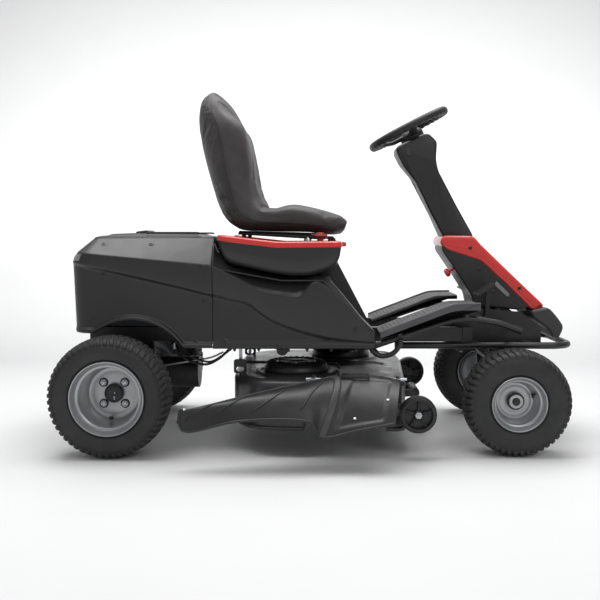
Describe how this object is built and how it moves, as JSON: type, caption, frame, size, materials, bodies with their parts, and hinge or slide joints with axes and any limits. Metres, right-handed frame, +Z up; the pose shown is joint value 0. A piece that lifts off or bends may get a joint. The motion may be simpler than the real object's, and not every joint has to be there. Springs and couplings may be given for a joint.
{
  "type": "riding lawn mower",
  "caption": "Battery riding lawn mower with a side-discharge cutting deck, tilting seat on a slide, steered pivoting front axle, lifting deck, rear lid, pedals and storage pods.",
  "frame": {"origin": "middle of the machine's box on the ground, the machine standing on its four wheels", "axes": "+X forward, +Y to the operator's left, +Z up"},
  "size_m": [1.7626, 1.025, 1.2319],
  "materials": {
    "black_steel": "semi-gloss black powder coat",
    "grey_steel": "satin dark grey paint",
    "deck_paint": "semi-gloss charcoal powder coat",
    "zinc_steel": "zinc-plated, satin",
    "blade_steel": "ground edges, painted body",
    "rim_paint": "silver-grey satin enamel",
    "body_plastic": "fine-grained moulded plastic, low sheen",
    "black_plastic": "fine-grained moulded plastic",
    "nose_plastic": "satin dark grey moulded plastic",
    "red_plastic": "glossy red moulded plastic",
    "step_mat": "grey ribbed foot mat",
    "tyre_rubber": "matt moulded rubber",
    "wheel_grip": "soft-touch moulded grip",
    "seat_vinyl": "grained vinyl cover, warm dark grey",
    "motor_black": "black satin castings",
    "cast_alloy": "sand-cast alloy",
    "battery_case": "moulded case",
    "lamp_lens": "clear lens",
    "gauge_plastic": "hard black nylon"
  },
  "bodies": {
    "frame": {"frame_rails": "black_steel", "frame_crossmembers": "black_steel", "front_frame": "black_steel", "hitch_plate": "black_steel", "front_bumper": "black_steel", "footrests": "step_mat", "rear_fender_right": "body_plastic", "rear_fender_left": "body_plastic", "mid_fenders": "body_plastic", "rear_panel": "body_plastic", "seat_deck": "body_plastic", "storage_pods": "body_plastic", "pod_trims": "red_plastic", "battery_packs": "battery_case", "motor_controller": "cast_alloy", "transaxle": "cast_alloy", "column_cover": "black_plastic", "dash_cover": "black_plastic", "front_cowl": "red_plastic", "nose_cover": "nose_plastic", "lamps": "lamp_lens"},
    "lid": {"rear_lid": "body_plastic"},
    "seat_slide": {"seat_rails": "black_steel"},
    "seat": {"seat_pan": "black_steel", "seat_cushion": "seat_vinyl"},
    "seat_latch": {"seat_lever": "red_plastic"},
    "steering": {"steering_wheel": "wheel_grip", "steering_shaft": "zinc_steel"},
    "pinion": {"pinion_shaft": "zinc_steel"},
    "sector": {"steering_sector": "zinc_steel"},
    "tie": {"tie_rod": "grey_steel"},
    "axle": {"front_axle": "black_steel"},
    "knuckle_right": {"spindle_right": "grey_steel"},
    "knuckle_left": {"spindle_left": "grey_steel"},
    "front_wheel_right": {"front_tyre_right": "tyre_rubber", "front_rim_right": "rim_paint"},
    "front_wheel_left": {"front_tyre_left": "tyre_rubber", "front_rim_left": "rim_paint"},
    "rear_wheel_right": {"rear_tyre_right": "tyre_rubber", "rear_rim_right": "rim_paint", "rear_hub_right": "zinc_steel", "hub_cap_right": "black_plastic"},
    "rear_wheel_left": {"rear_tyre_left": "tyre_rubber", "rear_rim_left": "rim_paint", "rear_hub_left": "zinc_steel", "hub_cap_left": "black_plastic"},
    "deck": {"deck_shell": "deck_paint", "deck_motors": "motor_black"},
    "cutter_right": {"blade_right": "blade_steel"},
    "cutter_left": {"blade_left": "blade_steel"},
    "chute": {"discharge_chute": "body_plastic"},
    "gauge_right": {"gauge_wheel_right": "gauge_plastic"},
    "gauge_left": {"gauge_wheel_left": "gauge_plastic"},
    "roller": {"front_roller": "gauge_plastic"},
    "lift": {"lift_shaft": "black_steel", "lift_lever": "red_plastic"},
    "hangers": {"deck_hangers": "zinc_steel"},
    "knob": {"blade_knob": "red_plastic"},
    "pedal_drive": {"drive_pedal": "black_plastic"},
    "pedal_brake": {"brake_pedal": "black_plastic"}
  },
  "joints": [
    {"name": "lid_hinge", "type": "hinge", "parent": "frame", "child": "lid", "pos_m": [-0.39575, 0.0625, 0.706], "axis": [0, 1, 0], "range_deg": [0, 60]},
    {"name": "seat_track", "type": "slide", "parent": "frame", "child": "seat_slide", "axis": [1, 0, 0], "range_m": [-0.05, 0.05]},
    {"name": "seat_tilt", "type": "hinge", "parent": "seat_slide", "child": "seat", "pos_m": [0.04225, 0.0625, 0.704], "axis": [0, 1, 0], "range_deg": [0, 45]},
    {"name": "seat_latch_pivot", "type": "hinge", "parent": "seat_slide", "child": "seat_latch", "pos_m": [0.01625, -0.1075, 0.689], "axis": [0, 0, -1], "range_deg": [0, 12], "stiffness_Nm_per_rad": 0.6, "springref_deg": -17.19},
    {"name": "steering_turn", "type": "hinge", "parent": "frame", "child": "steering", "pos_m": [0.31725, 0.0625, 1.101], "axis": [-0.454, 0, 0.891], "range_deg": [-180, 180]},
    {"name": "pinion_turn", "type": "hinge", "parent": "frame", "child": "pinion", "pos_m": [0.66882, 0.0625, 0.37], "axis": [0, 0, 1], "range_deg": [-180, 180]},
    {"name": "sector_turn", "type": "hinge", "parent": "frame", "child": "sector", "pos_m": [0.58882, 0.0625, 0.361], "axis": [0, 0, 1], "range_deg": [-30, 30]},
    {"name": "axle_pivot", "type": "hinge", "parent": "frame", "child": "axle", "pos_m": [0.64325, 0.0625, 0.29], "axis": [1, 0, 0], "range_deg": [-4, 4]},
    {"name": "kingpin_right", "type": "hinge", "parent": "axle", "child": "knuckle_right", "pos_m": [0.64325, -0.1825, 0.27], "axis": [0, 0, 1], "range_deg": [-30, 30]},
    {"name": "kingpin_left", "type": "hinge", "parent": "axle", "child": "knuckle_left", "pos_m": [0.64325, 0.3075, 0.27], "axis": [0, 0, 1], "range_deg": [-30, 30]},
    {"name": "tie_rod_pin", "type": "hinge", "parent": "knuckle_left", "child": "tie", "pos_m": [0.57325, 0.3075, 0.32], "axis": [0, 0, 1], "range_deg": [-30, 30]},
    {"name": "front_wheel_right_spin", "type": "hinge", "parent": "knuckle_right", "child": "front_wheel_right", "pos_m": [0.64325, -0.2685, 0.1747], "axis": [0, 1, 0], "continuous": true},
    {"name": "front_wheel_left_spin", "type": "hinge", "parent": "knuckle_left", "child": "front_wheel_left", "pos_m": [0.64325, 0.3935, 0.1747], "axis": [0, 1, 0], "continuous": true},
    {"name": "rear_wheel_right_spin", "type": "hinge", "parent": "frame", "child": "rear_wheel_right", "pos_m": [-0.68375, -0.3125, 0.1975], "axis": [0, 1, 0], "continuous": true},
    {"name": "rear_wheel_left_spin", "type": "hinge", "parent": "frame", "child": "rear_wheel_left", "pos_m": [-0.68375, 0.4375, 0.1975], "axis": [0, 1, 0], "continuous": true},
    {"name": "deck_travel", "type": "slide", "parent": "frame", "child": "deck", "axis": [0, 0, 1], "range_m": [-0.065, 0]},
    {"name": "cutter_right_spin", "type": "hinge", "parent": "deck", "child": "cutter_right", "pos_m": [-0.08225, -0.1225, 0.124], "axis": [0, 0, 1], "continuous": true},
    {"name": "cutter_left_spin", "type": "hinge", "parent": "deck", "child": "cutter_left", "pos_m": [0.08075, 0.2475, 0.124], "axis": [0, 0, 1], "continuous": true},
    {"name": "chute_hinge", "type": "hinge", "parent": "deck", "child": "chute", "pos_m": [0.10975, -0.3495, 0.26], "axis": [-1, 0, 0], "range_deg": [0, 70], "stiffness_Nm_per_rad": 0.6, "springref_deg": -34.38},
    {"name": "gauge_right_spin", "type": "hinge", "parent": "deck", "child": "gauge_right", "pos_m": [0.31375, -0.3425, 0.146], "axis": [0, 1, 0], "continuous": true},
    {"name": "gauge_left_spin", "type": "hinge", "parent": "deck", "child": "gauge_left", "pos_m": [0.37475, 0.4705, 0.154], "axis": [0, 1, 0], "continuous": true},
    {"name": "roller_spin", "type": "hinge", "parent": "deck", "child": "roller", "pos_m": [0.34175, 0.0625, 0.15], "axis": [0, 1, 0], "continuous": true},
    {"name": "lift_turn", "type": "hinge", "parent": "frame", "child": "lift", "pos_m": [-0.12775, 0.0625, 0.335], "axis": [0, 1, 0], "range_deg": [-25.04, 0]},
    {"name": "hanger_turn", "type": "hinge", "parent": "lift", "child": "hangers", "pos_m": [-0.27419, 0.0625, 0.3675], "axis": [0, 1, 0], "range_deg": [0, 25.04]},
    {"name": "knob_pull", "type": "slide", "parent": "frame", "child": "knob", "axis": [-0.8321, 0, -0.5547], "range_m": [0, 0.012]},
    {"name": "drive_pedal_pivot", "type": "hinge", "parent": "frame", "child": "pedal_drive", "pos_m": [0.58325, -0.0775, 0.43], "axis": [0, 1, 0], "range_deg": [0, 18], "stiffness_Nm_per_rad": 3, "springref_deg": -11.46},
    {"name": "brake_pedal_pivot", "type": "hinge", "parent": "frame", "child": "pedal_brake", "pos_m": [0.58325, 0.2025, 0.43], "axis": [0, 1, 0], "range_deg": [0, 18], "stiffness_Nm_per_rad": 3, "springref_deg": -11.46}
  ],
  "couplings": [
    {"joint": "pinion_turn", "follows": "steering_turn", "ratio": 1},
    {"joint": "sector_turn", "follows": "steering_turn", "ratio": 0.16667},
    {"joint": "kingpin_right", "follows": "steering_turn", "ratio": 0.16667},
    {"joint": "kingpin_left", "follows": "steering_turn", "ratio": 0.16667},
    {"joint": "tie_rod_pin", "follows": "steering_turn", "ratio": -0.16667},
    {"joint": "lift_turn", "follows": "deck_travel", "rad_per_m": 6.72},
    {"joint": "hanger_turn", "follows": "deck_travel", "rad_per_m": -6.72}
  ]
}
